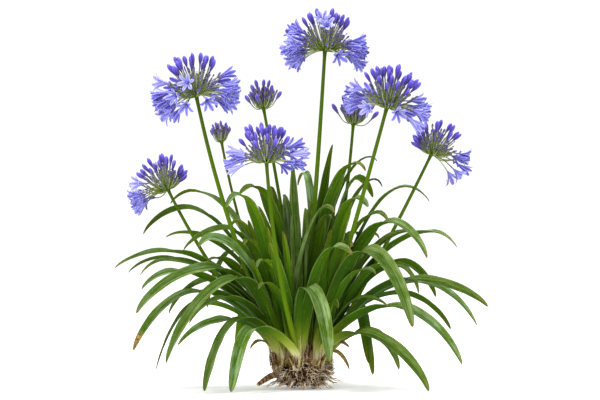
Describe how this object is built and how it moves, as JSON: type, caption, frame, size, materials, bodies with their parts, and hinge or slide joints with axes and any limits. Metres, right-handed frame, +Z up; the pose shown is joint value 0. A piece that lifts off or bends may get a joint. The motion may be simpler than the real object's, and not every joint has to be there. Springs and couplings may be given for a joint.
{
  "type": "agapanthus plant",
  "caption": "Bare-rooted agapanthus clump in flower: arching strap leaves and tall bare scapes topped by round umbels of blue-violet florets and buds, over a fibrous root ball.",
  "frame": {"origin": "on the ground, under the middle of the root ball", "axes": "+Z up, -Y to the front, +X to the right as seen from the front"},
  "size_m": [0.747, 0.524, 0.7629],
  "materials": {
    "roots": "matt, matted brown root fibres with clinging soil",
    "rhizome": "matt tan bark with darker rings, pale where it is broken",
    "leaf": "satin, mid to dark green with a paler midrib and a whitish base",
    "scape": "satin olive green",
    "floret": "soft matt violet-blue petals with darker mid-veins, green pedicels"
  },
  "bodies": {
    "root": {"root_ball": "roots", "rhizome": "rhizome", "leaves_front": "leaf", "leaves_front_left": "leaf", "leaves_front_right": "leaf", "leaves_left": "leaf", "leaves_right": "leaf", "leaves_middle": "leaf", "leaves_back_left": "leaf", "leaves_back_right": "leaf", "leaves_back": "leaf", "scape_tall": "scape", "umbel_tall": "floret", "scape_upper_left": "scape", "umbel_upper_left": "floret", "scape_upper_right": "scape", "umbel_upper_right": "floret", "scape_centre": "scape", "umbel_centre": "floret", "scape_far_left": "scape", "umbel_far_left": "floret", "scape_far_right": "scape", "umbel_far_right": "floret", "scape_young_left": "scape", "umbel_young_left": "floret", "scape_young_right": "scape", "umbel_young_right": "floret", "scape_young_small": "scape", "umbel_young_small": "floret"}
  },
  "joints": []
}
